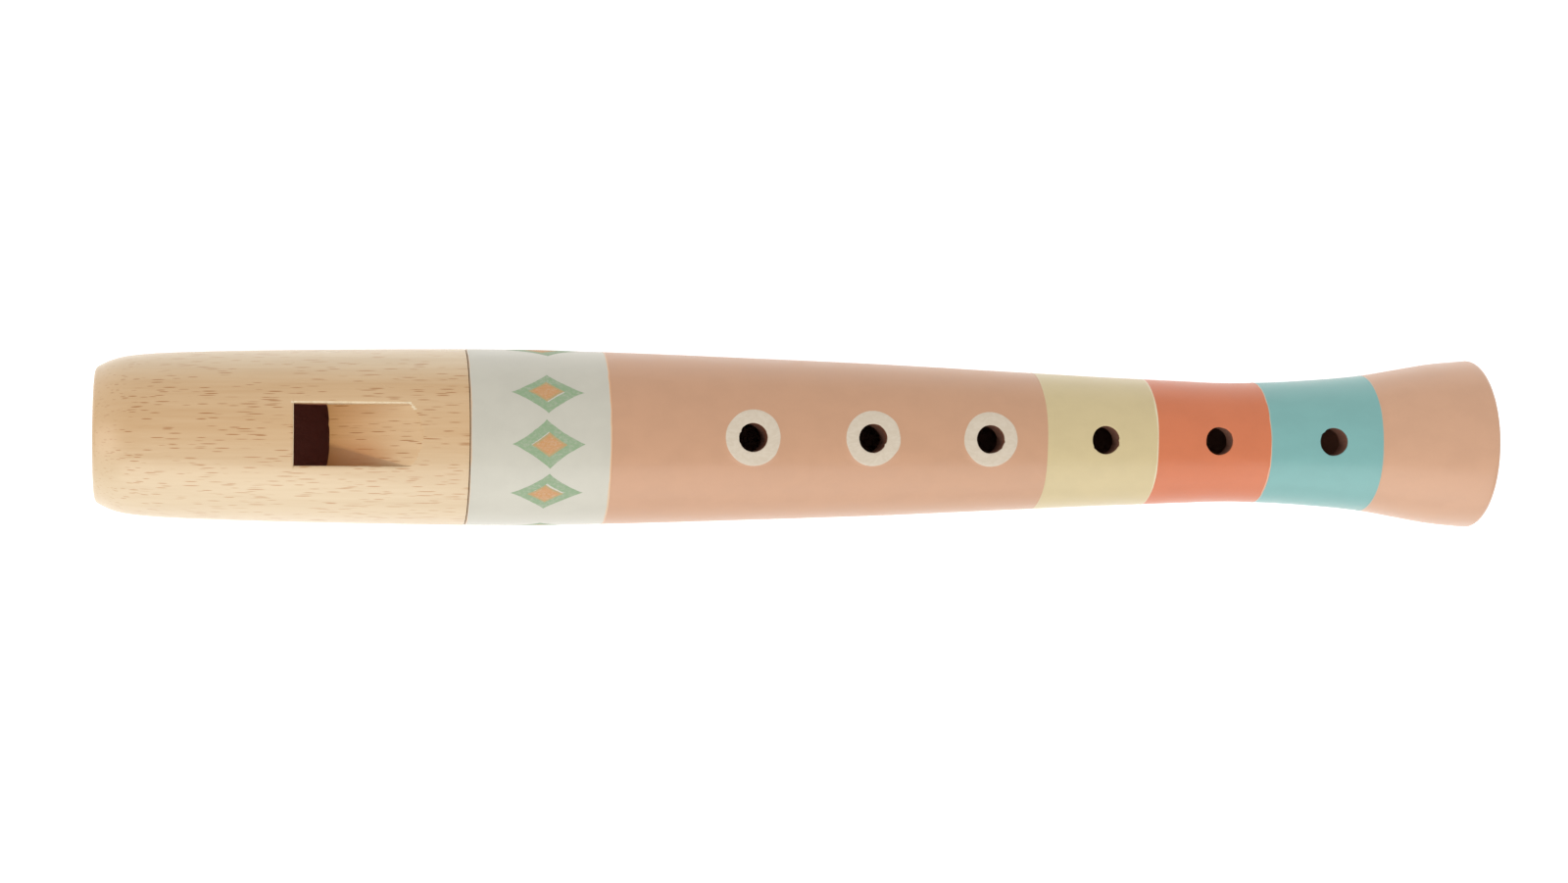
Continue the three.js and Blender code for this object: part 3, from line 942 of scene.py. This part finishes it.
def head_inside(s, radius, ceiling):
    """The bore as a grid with the outside's columns: a circle, and over the middle a flat ceiling
    where there is one, with upright sides that pass through the same heights as the window's."""
    inner, beside = strip_columns()
    radius, ceiling, place = radius[:, None], ceiling[:, None], s[:, None]
    middle = np.maximum(np.sqrt(radius ** 2 - inner[None] ** 2), ceiling)
    foot = np.sqrt(radius ** 2 - WINDOW_HALF ** 2)
    levels = [np.maximum(foot, np.minimum(level, ceiling)) for level in (LABIUM_TOP, LABIUM_UNDERSIDE)]
    start = np.arcsin(WINDOW_HALF / radius)
    count = HEAD_AROUND - 1 + 2 * (len(beside) - 1)
    share = np.linspace(0, 1, count + 2)[None, 1:-1]
    angle = start + (2 * np.pi - 2 * start) * share
    half = np.concatenate([*levels, foot], 1)
    half_y = np.full(half.shape, WINDOW_HALF)
    y = np.concatenate([np.broadcast_to(inner, middle.shape), half_y, radius * np.sin(angle), -half_y], 1)
    h = np.concatenate([middle, half, radius * np.cos(angle), half[:, ::-1]], 1)
    return np.stack([np.broadcast_to(place, y.shape), y, h], -1)


def head_finish(s, columns, strip):
    """Which finish each outside cell of the head has: lacquer, the cut face of the ramp, or a
    painted highlight along the window's edges."""
    middle = (s[:-1] + s[1:]) / 2
    finish = np.full((len(middle), columns), LACQUER)
    plane = LABIUM_TOP + RAMP_SLOPE * (middle - LABIUM)
    inner, beside = strip_columns()
    across = (inner[:-1] + inner[1:]) / 2
    top = np.sqrt(head_radius(middle)[:, None] ** 2 - across[None] ** 2)
    cut_down = (plane[:, None] < top) & (middle > LABIUM)[:, None]
    finish[:, : strip - 1][cut_down] = RAMP
    wall_end = plane < top[:, -1]
    walled = (middle > WINDOW_START - WINDOW_ROUND) & wall_end
    # Painted highlight on the lit +y edge of the window and the ramp, and along the sill.
    rounded = int(np.sum(beside < WINDOW_HALF + HIGHLIGHT_WIDTH))
    finish[walled, strip - 1 : strip + 1 + rounded] = EDGE_HIGHLIGHT
    sill = (middle > WINDOW_START - HIGHLIGHT_SILL) & (middle < WINDOW_START)
    finish[sill, : strip - 1] = EDGE_HIGHLIGHT
    # The painted highlight curls a little way round the end of the ramp.
    run_out = np.abs(plane[:, None] - top) < HIGHLIGHT_CURL
    finish[:, : strip - 1][run_out & (across > 0.8 * WINDOW_HALF)] = EDGE_HIGHLIGHT
    return finish


def beak_drum():
    """A round drum lying across the recorder, whose top hollows the underside of the mouthpiece."""
    skin = Skin()
    turn = np.linspace(0, 2 * np.pi, 361)[:-1]
    centre = BEAK_TIP - BEAK_DRUM_RADIUS
    rings = []
    for side, share in ((-1, 0.0), (-1, 1.0), (1, 1.0), (1, 0.0)):
        radius = BEAK_DRUM_RADIUS * share
        y = np.full_like(turn, side * BEAK_DRUM_REACH)
        place = radius * np.cos(turn) + BEAK_DRUM_PLACE
        rings.append(np.stack([place, y, centre + radius * np.sin(turn)], -1))
    skin.add(np.stack(rings))
    return skin.piece("beak_drum", [])


def head_joint(materials):
    """The head: outside with window and ramp, bore with windway and socket, and the walls that join
    them."""
    skin = Skin()
    s = head_rows()
    outside, strip = head_outside(s)
    columns = outside.shape[1]
    in_window = (s[:-1] >= WINDOW_START - SAME_PLACE) & (s[1:] <= LABIUM + SAME_PLACE)
    keep = np.ones((len(s) - 1, columns), bool)
    # The window's cells are those over the strip and the steps down its two sides.
    over = np.r_[0 : strip + 2, columns - 3 : columns]
    keep[np.ix_(in_window, over)] = False
    skin.add(outside, head_finish(s, columns, strip), keep)

    window_rows = np.where((s >= WINDOW_START - SAME_PLACE) & (s <= LABIUM + SAME_PLACE))[0]
    lip_end = LABIUM + LABIUM_LENGTH
    inside_s = [0.0, 10.0, 20.0, WINDOW_START]
    inside_radius = [HEAD_BORE] * 4
    inside_ceiling = [WINDWAY_CEILING] * 4
    inside_s += [*s[window_rows], LABIUM, lip_end, lip_end]
    inside_s += [SOCKET_START, SOCKET_START, SEAM - 0.3, SEAM]
    inside_radius += [HEAD_BORE] * (len(window_rows) + 4) + [SOCKET_RADIUS] * 2 + [SOCKET_RADIUS + 0.3]
    inside_ceiling += [0.0] * len(window_rows) + [LABIUM_UNDERSIDE] * 2 + [0.0] * 5
    inside = head_inside(np.array(inside_s), np.array(inside_radius), np.array(inside_ceiling))
    edge = 4 + len(window_rows)
    inside[edge, :strip, 0] += worn_labium(inside[edge, :strip, 1])
    keep_inside = np.ones((len(inside_s) - 1, columns), bool)
    first = 4
    last = first + len(window_rows) - 1
    # In the window the strip is open, and the steps into and out of it are the window's end walls.
    keep_inside[np.ix_(np.arange(first - 1, last + 1), over)] = False
    skin.add(inside, HEAD_BARE_AND_SHADE, keep_inside)

    top_of_wall = (strip - 1) + 3
    foot = np.sqrt(HEAD_BORE ** 2 - WINDOW_HALF ** 2)
    for column in (top_of_wall, columns - 3):
        top = outside[window_rows, column]
        levels = (foot, LABIUM_UNDERSIDE, LABIUM_TOP, WINDWAY_CEILING)
        heights = [np.full(len(top), level) for level in levels] + [top[:, 2]]
        wall = np.stack([np.column_stack([top[:, 0], top[:, 1], height]) for height in heights])
        skin.add(wall, HEAD_BARE_AND_SHADE, wrap=False)
    for row, below in ((window_rows[0], first - 1), (window_rows[-1], last + 1)):
        skin.add(np.stack([outside[row, :strip], inside[below, :strip]]), LACQUER, wrap=False)

    def rounded_end(row, path):
        """A surface of revolution on the path, with its points at the angles of a row of the
        outside."""
        return turned(path, np.arctan2(outside[row, :, 1], outside[row, :, 2]))

    nose = rounded_end(0, [(0.0, TIP_FACE_RADIUS), (0.03, 9.3), (0.1, 9.5), (0.2, 9.68)])
    skin.add(np.concatenate([inside[:1], nose, outside[:1]]), LACQUER)
    brow = rounded_end(-1, [(SEAM - 0.06, SHOULDER_RADIUS - 0.01), (SEAM - 0.02, 12.93), (SEAM, 12.87)])
    skin.add(np.concatenate([outside[-1:], brow, inside[-1:]]), LACQUER)
    piece = skin.piece("beech_head", materials)
    cut(piece, beak_drum())
    return piece


def windway_block(materials):
    """The plug: a dowel with a flat-topped tongue, carried along the bore as one closed section and
    cut by the drum."""
    gap = 0.1
    radius, half_width = HEAD_BORE - gap, WINDOW_HALF - gap
    foot = math.sqrt(radius ** 2 - half_width ** 2)
    top_y = np.linspace(-half_width, half_width, 9)
    side_h = np.linspace(WINDWAY_FLOOR, foot, 4)[1:]
    start = math.asin(half_width / radius)
    angle = np.linspace(start, 2 * np.pi - start, 60)[1:-1]
    y = np.concatenate([top_y, np.full(3, half_width), radius * np.sin(angle), np.full(3, -half_width)])
    h = np.concatenate([np.full(9, WINDWAY_FLOOR), side_h, radius * np.cos(angle), side_h[::-1]])
    section = np.stack([y, h], -1)
    skin = Skin()
    rings = []
    chamfer = 0.25
    stations = [(0.0, 0.0), (0.0, 0.98), (0.15, 1.0), (9, 1.0), (18, 1.0), (WINDOW_START - chamfer, 1.0)]
    stations += [(WINDOW_START, 0.965), (WINDOW_START, 0.0)]
    for s, share in stations:
        rings.append(np.column_stack([np.full(len(section), s), section * share]))
    skin.add(np.stack(rings))
    piece = skin.piece("windway_plug", materials)
    cut(piece, beak_drum())
    return piece


CORK_SEED = 5


def cork_sleeve(materials):
    """The cork round the tenon: a sleeve with rounded edges, lightly pressed out of true by the
    socket."""
    start, end = RECESS[0] + 0.1, RECESS[1] - 0.1
    inner, outer, edge = RECESS_RADIUS + 0.1, 8.95, 0.3
    path = [(start, inner), (start, outer - edge)]
    path += list(quarter((start + edge, outer - edge), edge, 180, 90, 6)[1:])
    path += [(start + edge + (end - start - 2 * edge) * t, outer) for t in np.linspace(0, 1, 22)[1:-1]]
    path += list(quarter((end - edge, outer - edge), edge, 90, 0, 6)) + [(end, inner), (start, inner)]
    angles = np.linspace(0, 2 * np.pi, 128, endpoint=False)
    grid = turned(path, angles)
    worn = -0.035 * np.abs(wander(len(angles), 1.0, 9, np.random.default_rng(CORK_SEED)))
    pressed = np.where(np.array(path)[:, 1] > inner + 0.2, 1.0, 0.0)[:, None] * worn[None]
    grid[..., 1] += pressed * np.sin(angles)
    grid[..., 2] += pressed * np.cos(angles)
    skin = Skin()
    skin.add(grid)
    return skin.piece("cork_sleeve", materials)


# ---- assembly

def mounted(piece, body, node):
    """Puts a finished piece on its body in place of a CAD node."""
    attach(piece, body)
    if node:
        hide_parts(node)


body_paints = [
    paint("off_white_paint", (197, 193, 179), [SHOULDER, BAND_ENDS[0]], (218, 176, 134), 0.2),
    paint("rose_paint", (197, 153, 122), [BAND_ENDS[0]], (222, 170, 130), 0.16),
    paint("yellow_paint", (204, 186, 143), [BAND_ENDS[2]], (226, 216, 186), 0.3),
    paint("orange_paint", (206, 120, 83), [BAND_ENDS[3]], (222, 186, 160), 0.14),
    paint("blue_paint", (126, 174, 170), [BAND_ENDS[3]], (160, 180, 166)),
    paint("bell_rose_paint", (205, 161, 131), [BAND_ENDS[4]], (192, 170, 150)),
    cream_ring_paint(),
    bare_beech("bare_beech", BARE_TONE),
    shade_painted_wall("shade_painted_wall", SHADE_WALL_RIM, SHADE_WALL_DEEP, (8.5, 12.0)),
]
mounted(body_joint(body_paints), "body", "body_joint")
inks = [
    printed_ink("green_ink", (142, 165, 131), (170, 176, 156)),
    printed_ink("tan_ink", (196, 148, 102), (202, 168, 136)),
    printed_ink("tan_over_green_ink", (182, 154, 110), (176, 168, 128)),
]
mounted(diamond_prints(inks), "body", None)
# Painted shade: the head's bore darkens and reddens deep inside, under the window.
head_bore = shade_painted_wall("head_bore_painted_shade", BARE_TONE, (196, 122, 106), (7.0, 10.5), SOCKET_START)
head_finishes = [lacquered_beech(), head_bore, ramp_beech(), painted_edge_highlight()]
mounted(head_joint(head_finishes), "head", "head_joint")
mounted(windway_block([bare_beech("block_beech", BLOCK_TONE)]), "head", "windway_block")
mounted(cork_sleeve([natural_cork()]), "lapping", "tenon_cork")


# ---- studio

def studio_floor():
    """A wide sheet of white paper under the recorder."""
    reach = 3.0
    mesh = bpy.data.meshes.new("studio_floor")
    corners = [(-reach, -reach, 0), (reach, -reach, 0), (reach, reach, 0), (-reach, reach, 0)]
    mesh.from_pydata(corners, [], [(0, 1, 2, 3)])
    mesh.materials.append(floor_finish())
    floor = bpy.data.objects.new("studio_floor", mesh)
    bpy.context.scene.collection.objects.link(floor)


def soft_light(name, place, size, power, glossy=True, diffuse=True):
    """A square lamp that faces the origin, placed and sized in metres, with its power in watts. It
    can be left out of the reflections, or give nothing but them."""
    lamp = bpy.data.lights.new(name, "AREA")
    lamp.size = size
    lamp.energy = power
    light = bpy.data.objects.new(name, lamp)
    light.location = place
    light.visible_glossy = glossy
    light.visible_diffuse = diffuse
    light.rotation_euler = (Vector() - Vector(place)).to_track_quat("-Z", "Y").to_euler()
    bpy.context.scene.collection.objects.link(light)


def surroundings(strength):
    """Even white light from all round."""
    world = bpy.data.worlds.new("white_room")
    world.use_nodes = True
    background = world.node_tree.nodes["Background"]
    background.inputs["Color"].default_value = (1.0, 1.0, 1.0, 1.0)
    background.inputs["Strength"].default_value = strength
    bpy.context.scene.world = world


SENSOR_WIDTH = 36.0
FOCAL_LENGTH = 68.24
CAMERA_PLACE = (-83.4, -9.0, 452.5)
CAMERA_TARGET = (-4.0, -0.33, 13.0)
CAMERA_TILT = 0.38


def camera():
    """Nearly straight down, over the mouth end, looking a little towards the bell."""
    data = bpy.data.cameras.new("camera")
    data.sensor_width = SENSOR_WIDTH
    data.lens = FOCAL_LENGTH
    data.clip_start = 0.01
    view = bpy.data.objects.new("camera", data)
    place = Vector(CAMERA_PLACE) * MM
    target = Vector(CAMERA_TARGET) * MM
    forward = (target - place).normalized()
    tilt = math.radians(CAMERA_TILT)
    level = Vector((math.cos(tilt), math.sin(tilt), 0))
    right = (level - forward * level.dot(forward)).normalized()
    up = right.cross(forward)
    turn = Matrix((right, up, -forward)).transposed()
    view.matrix_world = Matrix.Translation(place) @ turn.to_4x4()
    bpy.context.scene.collection.objects.link(view)
    bpy.context.scene.camera = view


studio_floor()
soft_light("key_light", (-0.35, -0.62, 1.0), size=0.12, power=5.8, glossy=False)
soft_light("reflector", (0.0, -1.1, 0.45), size=1.3, power=8.0, diffuse=False)
soft_light("front_reflector", (-1.0, -0.2, 0.8), size=0.8, power=4.0, diffuse=False)
surroundings(strength=1.08)
camera()
bpy.context.scene.view_settings.view_transform = "Standard"
